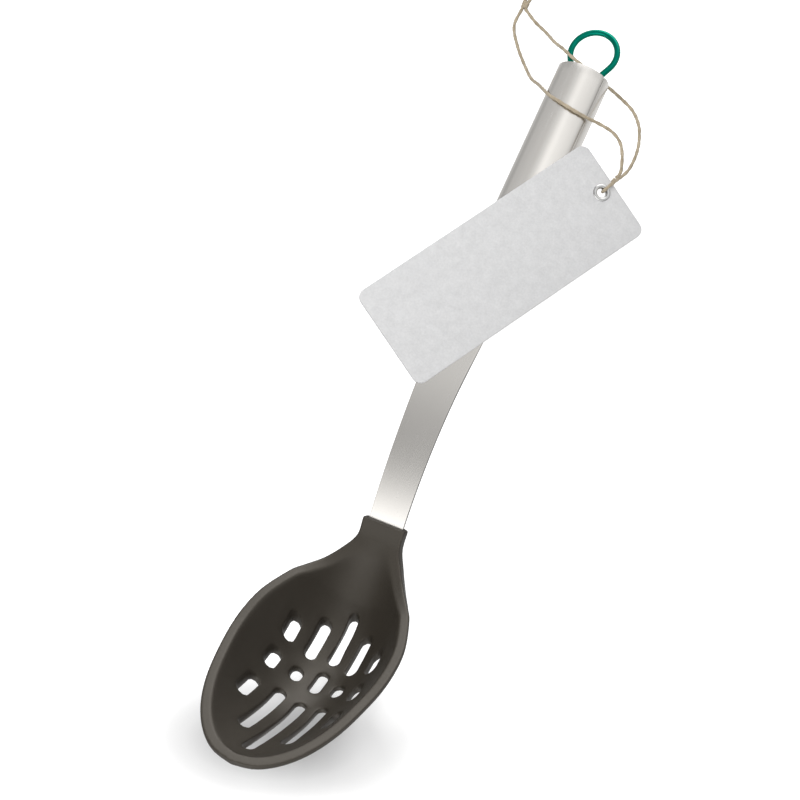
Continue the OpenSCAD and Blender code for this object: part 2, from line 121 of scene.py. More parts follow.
# Sizes of the tag and its eyelet, and how the tag lies on the handle
TAG_L = 120.8
TAG_W = 45.9
TAG_T = 1.4
TAG_CORNER_R = 4.0
TAG_GAP = 0.3
TAG_TURN = 30.2
TAG_ROLL = 27.0
TAG_X = -0.2
TAG_Y = 95.8
EYELET_X = -1.2
EYELET_INSET = 6.5
EYELET_BORE_R = 2.1
EYELET_R = 3.8
EYELET_T = 0.4
EYELET_FLANGE = 0.62
EYELET_ROLL = 0.4
EYELET_ROLL_R = 3.3
EYELET_CLEAR = 0.05
WASHER_SLOPE_W = 0.5

# The twine's thickness, its strands' lengths, and its routes
TWINE_D = 1.4
EYELET_ROUTE_TURN = 8.0
EYELET_ROUTE = [
    (0.4, 9.7, 0.95), (0.3, 8, 1.7), (0.2, 6.2, 2.35), (0, 4.3, 2.6), (0, 2.5, 2.45),
    (0, 1.15, 0.4), (0, 2.5, -1.6), (0, 4.5, -1.65), (-0.2, 6.5, -1.3), (-0.4, 8.2, -1.1),
    (-0.5, 9.7, -0.95)]
OVER_HANDLE_ROUTE = [
    (31.3, 112.5, 10.5), (31.5, 113.8, 9.5), (31.8, 115.9, 9.6), (31.2, 118.4, 9.9),
    (29.7, 123, 11), (27, 127.4, 12.2), (22.4, 130.3, 13.5), (16, 131.4, 15.4),
    (11, 130.8, 20), (5.7, 130.7, 24.6), (-1, 132.1, 25.6), (-7.5, 134.5, 23.1),
    (-12.7, 138.1, 17.6), (-17.7, 141.7, 11.4), (-23.9, 145.5, 5.3), (-30.1, 151.3, 1.2),
    (-37.5, 159.5, 0.9), (-43, 168.4, 0.9), (-42.7, 177.3, 1.3)]
THROUGH_LOOP_ROUTE = [
    (32.9, 112.2, 11.8), (33.3, 113.2, 11), (34.1, 115.4, 10.2), (34.7, 118.7, 9),
    (34.5, 124.7, 7.2), (33.4, 130.4, 5.4), (31.3, 136.1, 3.6), (28.5, 141.2, 1.9),
    (23.4, 146.6, 0.9), (16.4, 150.4, 0.8), (9.4, 153.5, 0.8), (2.8, 155.9, 2),
    (-1.3, 156.3, 6.3), (-3.9, 156.3, 11.6), (-8.8, 157.8, 13.7), (-13.8, 160.5, 12.1),
    (-20, 164, 7.4), (-27.2, 169, 2.6), (-34.6, 173, 0.9), (-41.1, 177.3, 1.3)]
KNOT_PLACE = (-41.9, 179, 1.7)
KNOT_WRAPS = 2.6
KNOT_RISE = 2.6
KNOT_R = 1.0
TAIL_ROUTES = [
    [(-42.5, 180, 1.6), (-43.6, 184, 1.1), (-45.5, 189, 0.8)],
    [(-41.3, 180, 1.6), (-40.4, 184.5, 1.1), (-40.8, 190, 0.8)]]


# Curves and frames

def mix(a, b, share):
    return a + (b - a) * share


def smooth(share):
    share = np.clip(share, 0, 1)
    return share * share * (3 - 2 * share)


def along(values, k):
    """Value at place k of a smooth curve through the entries of a list."""
    values = np.asarray(values, float)
    last = len(values) - 1
    i = min(int(math.floor(k)), last - 1)
    f = k - i
    b, c = values[i], values[i + 1]
    a = 2 * b - c if i == 0 else values[i - 1]
    d = 2 * c - b if i + 2 > last else values[i + 2]
    return 0.5 * (2 * b + (c - a) * f + (2 * a - 5 * b + 4 * c - d) * f * f
                  + (3 * b - 3 * c + d - a) * f ** 3)


def curve_through(route, step):
    """Points of the smooth curve through a route's points."""
    return np.array([along(route, k) for k in np.arange(0, len(route) - 1 + step / 2, step)])


def run_along(path):
    """Distance along a path to each of its points."""
    steps = np.linalg.norm(np.diff(path, axis=0), axis=1)
    return np.concatenate([[0], np.cumsum(steps)])


def turned(points, degrees, axis):
    """Points turned about one of the frame's axes (0, 1 or 2) through the origin."""
    points = np.array(points, float)
    a, b = [(1, 2), (2, 0), (0, 1)][axis]
    c, s = math.cos(math.radians(degrees)), math.sin(math.radians(degrees))
    out = points.copy()
    out[..., a] = points[..., a] * c - points[..., b] * s
    out[..., b] = points[..., a] * s + points[..., b] * c
    return out


def lay(points):
    """Points of the handle's frame, put down as the spoon lies."""
    return turned(points, -LIE_ANGLE, 0) - np.array([0, MIDDLE_Y, FLOOR_DROP])


def on_tag(points):
    """Points of the tag's frame, laid on the handle."""
    flat = turned(points, -TAG_TURN, 2) + np.array([TAG_X, -TAG_Y, HANDLE_R + TAG_GAP])
    return lay(turned(flat, TAG_ROLL, 1))


def at_eyelet(points):
    """Points of the eyelet's frame, laid where the eyelet is in the tag."""
    return on_tag(np.array(points, float) + np.array([EYELET_X, TAG_L / 2 - EYELET_INSET, 0]))


# Meshes

# Edges sharper than these angles stay sharp in the shading
CREASE = 40.0
TUBE_CREASE = 70.0
SHELL_CREASE = 32.0
NO_CREASE = 180.0
BEVEL_ANGLE = 50.0
MERGE_DISTANCE = 1e-7


def ring_faces(rings, n):
    """Quads between rings of n points, closed round each ring."""
    return [(k * n + i, k * n + (i + 1) % n, (k + 1) * n + (i + 1) % n, (k + 1) * n + i)
            for k in range(rings - 1) for i in range(n)]


def closed_faces(rings, n):
    """Quads between rings of n points, and a face at each end."""
    last = (rings - 1) * n
    return ring_faces(rings, n) + [tuple(reversed(range(n))), tuple(range(last, last + n))]


def folded_end(first, n):
    """Quads across one ring, whose n points run along one skin and back along the other."""
    return [(first + i, first + i + 1, first + n - 2 - i, first + n - 1 - i)
            for i in range(n // 2 - 1)]


def solid(name, points, faces, crease=CREASE):
    """An object with a mesh of these points, shaded smooth but for edges sharper than crease."""
    mesh = bpy.data.meshes.new(name)
    mesh.from_pydata([tuple(p) for p in np.asarray(points) * MM], [], faces)
    mesh.validate()
    obj = bpy.data.objects.new(name, mesh)
    bpy.context.scene.collection.objects.link(obj)
    shade(obj, crease)
    return obj


def shade(obj, crease):
    obj.data.shade_smooth()
    if crease < NO_CREASE:
        obj.data.set_sharp_from_angle(angle=math.radians(crease))


def settle(obj, crease=CREASE):
    """The object's modifiers worked into its mesh."""
    bpy.context.view_layer.update()
    deps = bpy.context.evaluated_depsgraph_get()
    mesh = bpy.data.meshes.new_from_object(obj.evaluated_get(deps))
    obj.modifiers.clear()
    obj.data = mesh
    shade(obj, crease)


def modify(obj, kind, **settings):
    modifier = obj.modifiers.new(kind.lower(), kind)
    for key, value in settings.items():
        setattr(modifier, key, value)


def outward(obj):
    """Faces turned so that their normals point out of the solid."""
    work = bmesh.new()
    work.from_mesh(obj.data)
    bmesh.ops.remove_doubles(work, verts=work.verts, dist=MERGE_DISTANCE)
    bmesh.ops.recalc_face_normals(work, faces=work.faces)
    work.to_mesh(obj.data)
    work.free()


def cut(obj, tool):
    """The tool's solid taken out of the object's."""
    modify(obj, "BOOLEAN", operation="DIFFERENCE", solver="EXACT", object=tool)
    settle(obj)
    bpy.data.objects.remove(tool)


def tube_rings(path, radius, sides, lobes=0, lobe=0.0, pitch=1.0):
    """Rings of points round a path, with lobes that wind round it as the plies of a twine do."""
    path = np.asarray(path, float)
    tangents = np.gradient(path, axis=0)
    tangents /= np.linalg.norm(tangents, axis=1)[:, None]
    side = np.cross(tangents[0], (1, 1, 1))
    rings = []
    for place, tangent, length in zip(path, tangents, run_along(path)):
        side = side - tangent * (side @ tangent)
        side /= np.linalg.norm(side)
        other = np.cross(tangent, side)
        angles = np.arange(sides) * 2 * math.pi / sides
        swell = 1 - lobe + lobe * np.abs(np.cos(lobes / 2 * angles - math.pi * length / pitch))
        reach = radius * swell
        rings.append(place + np.outer(reach * np.cos(angles), side)
                     + np.outer(reach * np.sin(angles), other))
    return rings


def tube(name, path, radius, sides, **twist):
    rings = tube_rings(path, radius, sides, **twist)
    return solid(name, np.concatenate(rings), closed_faces(len(rings), sides), TUBE_CREASE)


def join(name, parts):
    """Several solids as one piece."""
    points, faces = [], []
    for part in parts:
        first = len(points)
        points += [tuple(v.co / MM) for v in part.data.vertices]
        faces += [tuple(first + i for i in p.vertices) for p in part.data.polygons]
        bpy.data.objects.remove(part)
    return solid(name, points, faces, TUBE_CREASE)


def lathe(name, profile, sides, place):
    """A closed profile of (radius, height) points turned about the z axis, then placed."""
    rings = [[(r * math.cos(a), r * math.sin(a), z) for r, z in profile]
             for a in np.arange(sides) * 2 * math.pi / sides]
    n = len(profile)
    faces = [(k * n + i, ((k + 1) % sides) * n + i,
              ((k + 1) % sides) * n + (i + 1) % n, k * n + (i + 1) % n)
             for k in range(sides) for i in range(n)]
    return solid(name, place(np.concatenate(rings)), faces)


# Shader maths

class Value:
    """One output of a node, for use in expressions."""

    def __init__(self, nodes, socket):
        self.nodes = nodes
        self.socket = socket

    def math(self, operation, *values):
        return self.nodes.node("ShaderNodeMath", {"operation": operation}, values)

    def __add__(self, other):
        return self.math("ADD", self, other)

    def __sub__(self, other):
        return self.math("SUBTRACT", self, other)

    def __rsub__(self, other):
        return self.math("SUBTRACT", other, self)

    def __mul__(self, other):
        return self.math("MULTIPLY", self, other)

    __radd__ = __add__
    __rmul__ = __mul__


class Nodes:
    """A tree of shader nodes, with the direction or place that its textures start from."""

    def __init__(self, tree, place="Object"):
        self.tree = tree
        self.place = self.node("ShaderNodeTexCoord", out=place)

    def node(self, kind, settings=None, values=(), out=0):
        """A node of this type, with its settings and the values or links of its sockets."""
        node = self.tree.nodes.new(kind)
        for key, value in (settings or {}).items():
            if key == "stops":
                self.set_stops(node.color_ramp, value)
            else:
                setattr(node, key, value)
        pairs = values.items() if isinstance(values, dict) else enumerate(values)
        for key, value in pairs:
            self.put(node.inputs[key], value)
        return Value(self, node.outputs[out])

    @staticmethod
    def set_stops(ramp, stops):
        while len(ramp.elements) < len(stops):
            ramp.elements.new(0.5)
        for element, (at, grey) in zip(ramp.elements, stops):
            element.position = at
            element.color = (grey, grey, grey, 1)

    def put(self, socket, value):
        if isinstance(value, Value):
            self.tree.links.new(value.socket, socket)
        elif socket.type == "RGBA":
            socket.default_value = (*value, 1)
        else:
            socket.default_value = value

    def noise(self, scale, detail=2.0, roughness=0.5, stretch=(1, 1, 1)):
        place = self.node("ShaderNodeMapping", {}, {"Vector": self.place, "Scale": stretch})
        return self.node("ShaderNodeTexNoise", {}, {
            "Vector": place, "Scale": scale, "Detail": detail, "Roughness": roughness})

    def axis(self, name):
        return self.node("ShaderNodeSeparateXYZ", {}, [self.place], out=name)

    def ray(self, kind):
        return self.node("ShaderNodeLightPath", out="Is %s Ray" % kind)

    def ramp(self, value, *stops):
        return self.node("ShaderNodeValToRGB", {"stops": stops}, [value])

    def curve(self, value, stops):
        """Level at this value, from a list of (value, level) stops in rising order."""
        low, span = stops[0][0], stops[-1][0] - stops[0][0]
        top = max(level for _, level in stops)
        shares = [((at - low) / span, level / top) for at, level in stops]
        return top * self.ramp((value - low) * (1 / span), *shares)

    def colours(self, share, low, high):
        """A colour between two, by share."""
        return self.node("ShaderNodeMix", {"data_type": "RGBA"}, {0: share, 6: low, 7: high},
                         out=2)

    def bump(self, height, distance, strength=1.0, under=None):
        values = {"Height": height, "Distance": distance, "Strength": strength}
        if under is not None:
            values["Normal"] = under
        return self.node("ShaderNodeBump", {}, values)


class Finish(Nodes):
    """A material made of nodes, with a Principled shader."""

    def __init__(self, name):
        self.material = bpy.data.materials.new(name)
        self.material.use_nodes = True
        super().__init__(self.material.node_tree)
        self.shader = self.tree.nodes["Principled BSDF"]

    def set(self, **sockets):
        for name, value in sockets.items():
            self.put(self.shader.inputs[name.replace("_", " ")], value)
        return self


# Finishes

def nylon():
    f = Finish("satin_nylon")
    cloud = f.noise(55, 3)
    grain = f.noise(2600, 2)
    orange_peel = f.noise(420, 2)
    return f.set(
        Base_Color=f.colours(cloud, (0.027, 0.0228, 0.0175), (0.034, 0.0290, 0.0225)),
        Roughness=0.42 + 0.10 * cloud + 0.05 * grain,
        IOR=1.5, Specular_Tint=(1.0, 0.95, 0.88),
        Normal=f.bump(grain, 0.00002, 0.5, under=f.bump(orange_peel, 0.00005, 0.5)))


def satin_steel():
    f = Finish("satin_steel")
    brush = f.noise(3200, 3, 0.6, stretch=(1, 0.02, 1))
    haze = f.noise(30, 3)
    smear = f.noise(240, 3, 0.6, stretch=(1, 0.08, 1))
    return f.set(
        Base_Color=f.colours(haze, (0.63, 0.61, 0.58), (0.69, 0.67, 0.64)),
        Metallic=1.0,
        Roughness=0.175 + 0.05 * haze + 0.07 * brush + 0.05 * smear,
        Normal=f.bump(brush, 0.000010, 0.7))


def plain_wire():
    f = Finish("drawn_wire")
    draw = f.noise(1500, 3)
    return f.set(Base_Color=(0.55, 0.55, 0.54), Metallic=1.0, Roughness=0.3 + 0.1 * draw,
                 Normal=f.bump(draw, 0.00001))


def green_skin():
    f = Finish("green_sleeve_skin")
    cloud = f.noise(160, 2)
    return f.set(
        Base_Color=f.colours(cloud, (0.0, 0.125, 0.083), (0.0, 0.165, 0.110)), Metallic=0.6,
        Roughness=0.18 + 0.08 * cloud, Specular_IOR_Level=0.9,
        Specular_Tint=(0.04, 1.0, 0.8),
        Normal=f.bump(f.noise(700, 2), 0.00004, 0.4))


def grey_card():
    f = Finish("grey_card")
    blotch = f.noise(260, 5, 0.65)
    fibre = f.noise(1100, 4, 0.65)
    share = f.ramp(0.5 * blotch + 0.5 * fibre, (0.32, 0.0), (0.68, 1.0))
    return f.set(
        Base_Color=f.colours(share, (0.62, 0.62, 0.623), (0.75, 0.75, 0.753)),
        Roughness=0.86 + 0.1 * fibre, Specular_IOR_Level=0.3,
        Normal=f.bump(fibre, 0.00012, 0.5, under=f.bump(blotch, 0.0004, 0.25)))


def bright_nickel():
    f = Finish("bright_nickel")
    scuff = f.noise(900, 3)
    return f.set(Base_Color=(0.46, 0.46, 0.455), Metallic=1.0, Roughness=0.2 + 0.14 * scuff,
                 Normal=f.bump(scuff, 0.00002, 0.4))


def jute():
    f = Finish("jute_twine")
    ply = f.noise(260, 3)
    strand = f.noise(2200, 4, 0.7)
    share = f.ramp(0.45 * ply + 0.55 * strand, (0.33, 0.0), (0.66, 1.0))
    return f.set(
        Base_Color=f.colours(share, (0.31, 0.25, 0.17), (0.62, 0.535, 0.40)),
        Roughness=0.9, Specular_IOR_Level=0.2, Sheen_Weight=0.25, Sheen_Roughness=0.5,
        Normal=f.bump(strand, 0.0002, 0.8))


NYLON = nylon()
STEEL = satin_steel()
WIRE = plain_wire()
GREEN = green_skin()
CARD = grey_card()
NICKEL = bright_nickel()
JUTE = jute()


def dress(obj, finish, slot, body, *nodes):
    """The piece gets its finish and its body, and stands for these CAD nodes."""
    obj.data.materials.clear()
    obj.data.materials.append(finish.material)
    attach(obj, body)
    if nodes:
        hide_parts(*nodes)
    return obj


# Camera

CAMERA_AT = Vector((0.247264, -0.129665, 0.768186))
LOOK_AT = Vector((-0.0144, -0.012254, 0.021362))
CAMERA_ROLL = -43.684
SENSOR = 36.0
PHOTO_W = 800.0
FOCAL_PIXELS = 1904.0


def add_camera():
    data = bpy.data.cameras.new("camera")
    data.sensor_width = SENSOR
    data.lens = SENSOR * FOCAL_PIXELS / PHOTO_W
    data.clip_start = 0.01
    camera = bpy.data.objects.new("camera", data)
    bpy.context.scene.collection.objects.link(camera)
    aim = (LOOK_AT - CAMERA_AT).to_track_quat("-Z", "Y")
    turn = aim @ Quaternion((0, 0, 1), math.radians(CAMERA_ROLL))
    camera.matrix_world = Matrix.Translation(CAMERA_AT) @ turn.to_matrix().to_4x4()
    bpy.context.scene.camera = camera


add_camera()


# Twine

PLY = {"lobes": 2, "lobe": 0.26, "pitch": 4.2}
PATH_STEP = 0.1
# The plies bulge a little past the twine's mean thickness
TWINE_R = TWINE_D / 2 * 1.12
TWINE_SIDES = 14
KNOT_SIDES = 12
FIBRES_PER_MM = 1.7
FIBRE_LENGTHS = (0.5, 1.5)
FIBRE_LEANS = (0.35, 1.0)
FIBRE_CURL = 0.25
# Radii at a fibre's root, middle and tip
FIBRE_RADII = (0.03, 0.024, 0.012)
FIBRE_ROOT_R = TWINE_D * 0.36
LOOK_AHEAD = 0.5
NEAR_FLOOR = 2


def place_on(path, run, at):
    """Point at this distance along a path."""
    return np.array([np.interp(at, run, path[:, c]) for c in range(3)])


def fibre(place, along_twine, random):
    """Three rings of three points along a loose end of fibre, which stays above the floor."""
    out = random.normal(size=3)
    out -= along_twine * (out @ along_twine)
    out /= np.linalg.norm(out)
    if place[2] < NEAR_FLOOR and out[2] < 0:
        out[2] = -out[2]
    length = random.uniform(*FIBRE_LENGTHS)
    lean = out * random.uniform(*FIBRE_LEANS) + along_twine * random.choice([-1, 1])
    lean /= np.linalg.norm(lean)
    curl = random.normal(size=3) * FIBRE_CURL * length
    root = place + out * FIBRE_ROOT_R
    spine = [root, root + lean * length * 0.5 + curl * 0.3, root + lean * length + curl]
    side = np.cross(lean, out)
    side /= max(np.linalg.norm(side), 1e-6)
    other = np.cross(lean, side)
    return [point + r * (side * math.cos(turn) + other * math.sin(turn))
            for point, r in zip(spine, FIBRE_RADII) for turn in np.arange(3) * 2 * math.pi / 3]


def fibres(name, paths, seed):
    """Loose ends of fibre that stand out of the twine along these paths."""
    random = np.random.default_rng(seed)
    points, faces = [], []
    for path in paths:
        run = run_along(path)
        for at in np.sort(random.uniform(0, run[-1], int(run[-1] * FIBRES_PER_MM))):
            place = place_on(path, run, at)
            ahead = place_on(path, run, min(at + LOOK_AHEAD, run[-1])) - place
            ahead /= max(np.linalg.norm(ahead), 1e-6)
            faces += [tuple(len(points) + i for i in face) for face in closed_faces(3, 3)]
            points += fibre(place, ahead, random)
    return solid(name, points, faces, NO_CREASE)


def add_strand(node, route):
    path = curve_through(route, PATH_STEP)
    strand = dress(tube(node + "_strand", path, TWINE_R, TWINE_SIDES, **PLY), JUTE, "twine",
                   "spoon", node)


def knot_wraps():
    """Path of the knot's wraps, round both strands and leaning as they climb."""
    climb = np.linspace(0, 1, 90)
    angle = 2 * math.pi * KNOT_WRAPS * climb
    wraps = [KNOT_R * np.cos(angle), KNOT_RISE * (climb - 0.5), KNOT_R * np.sin(angle)]
    return np.stack(wraps, axis=1) + np.array(KNOT_PLACE)


def add_knot():
    parts = [tube("knot_wraps", knot_wraps(), TWINE_R, KNOT_SIDES, **PLY)]
    for strand, tail in zip((OVER_HANDLE_ROUTE, THROUGH_LOOP_ROUTE), TAIL_ROUTES):
        between = np.average([KNOT_PLACE, tail[0], strand[-1]], axis=0, weights=(2, 1, 1))
        path = curve_through([strand[-1], between, *tail], PATH_STEP)
        parts.append(tube("knot_core", path, TWINE_R, KNOT_SIDES, **PLY))
    return join("overhand_knot", parts)


knot = dress(add_knot(), JUTE, "twine", "spoon", "knot")
tail_paths = [curve_through(t, PATH_STEP) for t in TAIL_ROUTES]
over_path = curve_through(OVER_HANDLE_ROUTE, PATH_STEP)
through_path = curve_through(THROUGH_LOOP_ROUTE, PATH_STEP)
over_fibres = dress(fibres("fibres_over_handle", [over_path, *tail_paths], 3), JUTE, "twine",
                    "spoon")
through_fibres = dress(fibres("fibres_through_loop", [through_path], 4), JUTE, "twine", "spoon")
add_strand("twine_over_handle", OVER_HANDLE_ROUTE)
add_strand("twine_through_loop", THROUGH_LOOP_ROUTE)

eyelet_path = at_eyelet(turned(curve_through(EYELET_ROUTE, PATH_STEP), EYELET_ROUTE_TURN, 2))
dress(tube("bend_of_twine", eyelet_path, TWINE_R, TWINE_SIDES, **PLY), JUTE, "twine", "tag",
      "twine_through_eyelet")
dress(fibres("fibres_at_eyelet", [eyelet_path], 5), JUTE, "twine", "tag")


# Handle and shaft

SEAM_HALF_W = math.sqrt(HANDLE_R ** 2 - SEAM_H ** 2)
INNER_R = HANDLE_R - STRIP_T
INNER_HALF_W = math.sqrt(INNER_R ** 2 - SEAM_H ** 2)
STRIP_Z = SEAM_H + STRIP_T / 2
LEVEL_L = FADE_L + FLAT_L
BEND_L = BEND_R * math.radians(NECK_ANGLE)
COLLAR_AT = LEVEL_L + BEND_L + NECK_L
TANG_END = COLLAR_AT + TANG_L
STRIP_POINTS = 40
SHOULDER_STEPS = 8
BACK_POINTS = 72
NEARLY_0 = 0.01
FADE_CLEAR = 0.5
FRONT_BEVEL = 0.2
BACK_BEVEL = 0.18
SEAM_GAP = 0.5
BACK_TOP_Z = SEAM_H - SEAM_GAP
NOSE_CENTRE = NOSE_R - HANDLE_R - NOSE_CLEAR - BACK_TOP_Z
TIP_CLEAR = 0.02


def strip_angle(t):
    """How far the shaft is bent down, t behind the end of the round handle."""
    return min(max((t - LEVEL_L) / BEND_L, 0), 1) * NECK_ANGLE


def strip_place(t):
    """Middle of the sheet at t."""
    a = math.radians(strip_angle(t))
    bent = min(max(t - LEVEL_L, 0), BEND_L)
    rest = max(t - LEVEL_L - BEND_L, 0)
    flat = min(t, LEVEL_L)
    turn = bent / BEND_R
    return np.array([0, -HANDLE_L - flat - BEND_R * math.sin(turn) - rest * math.cos(a),
                     STRIP_Z - BEND_R * (1 - math.cos(turn)) - rest * math.sin(a)])


def strip_half_w(t):
    place = min(max(t / COLLAR_AT, 0), 1) * (len(STRIP_WIDTH_SHARES) - 1)
    return mix(NECK_W, FLARE_W, along(STRIP_WIDTH_SHARES, place)) / 2


def crown(x, half_w, rise):
    """Height over its ends, at x, of an arc of this half width and rise."""
    if rise < 1e-6:
        return np.zeros_like(x)
    r = (half_w ** 2 + rise ** 2) / (2 * rise)
    return np.sqrt(np.maximum(r * r - x * x, 0)) - (r - rise)


def strip_ring(t):
    """Section of the sheet at t: its outer skin from left to right, then its inner skin back."""
    u = np.linspace(-1, 1, STRIP_POINTS)
    round_share = 1 - smooth(t / FADE_L)
    top_w = mix(strip_half_w(t), SEAM_HALF_W, round_share)
    low_w = mix(strip_half_w(t), INNER_HALF_W, round_share)
    top_h = mix(STRIP_T / 2, -STRIP_T / 2, round_share)
    a = math.radians(strip_angle(t))
    up = np.array([0, -math.sin(a), math.cos(a)])
    rows = []
    for half_w, low, rise, line in (
            (top_w, top_h, round_share * (HANDLE_R - SEAM_H), u),
            (low_w, -STRIP_T / 2, round_share * (INNER_R - SEAM_H), -u)):
        x = half_w * line
        rows.append(strip_place(t) + np.outer(x, (1, 0, 0))
                    + np.outer(low + crown(x, half_w, rise), up))
    return np.concatenate(rows)


def round_ring(out_y, out_r, in_y, in_r):
    """Section of the round front: the outer skin at one place, the inner skin at another."""
    u = np.linspace(-1, 1, STRIP_POINTS)
    rows = []
    for y, r, line in ((out_y, out_r, u), (in_y, in_r, -u)):
        half = math.acos(SEAM_H / r)
        rows.append(np.stack([r * np.sin(half * line), np.full_like(line, y),
                              r * np.cos(half * line)], axis=1))
    return np.concatenate(rows)


def shoulder(share, inset):
    """Place and radius on the closed end's rounded edge, from the flat end (0) to the side (1)."""
    corner = SHOULDER_R - inset
    a = math.radians(90 * share)
    return (-inset - corner * (1 - math.sin(a)),
            HANDLE_R - SHOULDER_R + corner * math.cos(a - math.pi / 2))


def add_shell(name, rings, bevel_w, bevel_steps):
    """A shell of the handle, whose rings run along its outer skin and back along its inner."""
    n = len(rings[0])
    faces = ring_faces(len(rings), n)
    # The closed end: outer disc, inner disc, and the edge between them
    faces += [tuple(range(n // 2)), tuple(range(n // 2, n)), (0, n // 2 - 1, n // 2, n - 1)]
    faces += folded_end((len(rings) - 1) * n, n)
    shell = solid(name, lay(np.concatenate(rings)), faces)
    outward(shell)
    modify(shell, "BEVEL", width=bevel_w * MM, segments=bevel_steps, limit_method="ANGLE",
           angle_limit=math.radians(BEVEL_ANGLE))
    settle(shell, SHELL_CREASE)
    return shell


def front_rings():
    rings = []
    for share in np.linspace(0, 1, SHOULDER_STEPS):
        rings.append(round_ring(*shoulder(share, 0), *shoulder(share, STRIP_T)))
    for y in np.linspace(-SHOULDER_R - 1, -HANDLE_L + FADE_CLEAR, 30):
        rings.append(round_ring(y, HANDLE_R, y, INNER_R))
    stations = np.concatenate([
        np.linspace(NEARLY_0, FADE_L, 30), np.linspace(FADE_L, LEVEL_L, 8)[1:],
        np.linspace(LEVEL_L, LEVEL_L + BEND_L, 40)[1:], [COLLAR_AT, TANG_END]])
    return rings + [strip_ring(t) for t in stations]


def back_ring(y, cylinder_r, nose_r):
    """Section of the back shell under the seams, as points seen from the middle of the seams."""
    angles = np.linspace(math.pi, 2 * math.pi, BACK_POINTS)
    s = np.sin(angles)
    reach = -BACK_TOP_Z * s + np.sqrt((BACK_TOP_Z * s) ** 2 - BACK_TOP_Z ** 2 + cylinder_r ** 2)
    if y < -HANDLE_L:
        q = nose_r ** 2 - (y + HANDLE_L) ** 2
        ball = (NOSE_CENTRE * s
                + np.sqrt(np.maximum((NOSE_CENTRE * s) ** 2 - NOSE_CENTRE ** 2 + q, 0)))
        reach = np.minimum(reach, ball)
    return np.stack([reach * np.cos(angles), np.full_like(angles, y), BACK_TOP_Z + reach * s],
                    axis=1)


def back_skin(inset):
    """Rings of the back shell's outer skin, or of the one that lies inset inside it."""
    r, nose = HANDLE_R - inset, NOSE_R - inset
    rings = []
    for share in np.linspace(0, 1, SHOULDER_STEPS):
        rings.append(back_ring(*shoulder(share, inset), nose))
    for y in np.linspace(-SHOULDER_R - 1, -HANDLE_L, 20):
        rings.append(back_ring(y, r, nose))
    reach = math.sqrt(nose ** 2 - NOSE_CENTRE ** 2) - TIP_CLEAR
    for a in np.linspace(0, math.pi / 2, 22)[1:]:
        rings.append(back_ring(-HANDLE_L - reach * math.sin(a), r, nose))
    return rings


def back_rings():
    return [np.concatenate([outer, inner[::-1]])
            for outer, inner in zip(back_skin(0), back_skin(SHELL_T))]


dress(add_shell("handle_front_and_shaft", front_rings(), FRONT_BEVEL, 3), STEEL, "steel",
      "spoon", "shaft_front_shell")
dress(add_shell("handle_back", back_rings(), BACK_BEVEL, 2), STEEL, "steel", "spoon",
      "back_shell")


# Hanging loop

def loop_path():
    """Middle line of the sleeve, from inside one leg's hole round to the other's."""
    a = math.radians(LEG_ANGLE)
    sweep = np.linspace(-a, math.pi + a, 90)
    arc = np.stack([LOOP_R * np.cos(sweep), LOOP_RISE + LOOP_R * np.sin(sweep),
                    np.zeros_like(sweep)], axis=1)
    leg_l = arc[0][1] / math.cos(a) + SLEEVE_IN
    down = np.array([-math.sin(a), -math.cos(a), 0])
    right = [arc[0] + down * leg_l * s for s in np.linspace(1, 0, 14)[:-1]]
    left = [p * (-1, 1, 1) for p in right[::-1]]
    return np.concatenate([right, arc, left])


dress(tube("loop_coating", lay(loop_path()), SLEEVE_R, SLEEVE_SIDES), GREEN, "green_sleeve",
      "spoon", "loop_sleeve")
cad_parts["loop_wire"].data.materials.clear()
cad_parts["loop_wire"].data.materials.append(WIRE.material)


# Bowl

BOWL_POINTS = 34
UNDER_POINTS = 44
VOXEL = 0.42
NECK_TURN = BOWL_PITCH + NECK_ANGLE
# Places of the moulding's sections, up to just short of the tip
SECTION_PLACES = np.append(np.arange(0, 12.9, 0.06), [12.92, 12.96])
INSIDE_PLACES = np.linspace(0, 13, 131)
INSIDE_ALONG_SHARES = [along(RIM_ALONG_SHARES, k) for k in INSIDE_PLACES]
SLOT_TOP = 3.0
FAR = 99.0


def ahead(degrees):
    """Way towards the tip, in a part pitched up by this angle."""
    a = math.radians(degrees)
    return np.array([0, -math.cos(a), math.sin(a)])


def above(degrees):
    """Way up, in a part pitched up by this angle."""
    a = math.radians(degrees)
    return np.array([0, math.sin(a), math.cos(a)])


RIM_START = strip_place(COLLAR_AT) + above(-NECK_ANGLE) * COLLAR_TOP
BOWL_ORIGIN = (RIM_START - ahead(BOWL_PITCH) * RIM_ALONG_SHARES[0] * BOWL_L
               - above(BOWL_PITCH) * RIM_HEIGHT_SHARES[0] * BOWL_L)


def rolled_in(drop, depth):
    """Height of the bowl's inside from the rim (below 0), rolled over softly at its edge."""
    if depth < NEARLY_0:
        return -drop
    full = math.hypot(depth, RIM_ROLL) - RIM_ROLL
    return -(math.hypot(drop, RIM_ROLL) - RIM_ROLL) * depth / full


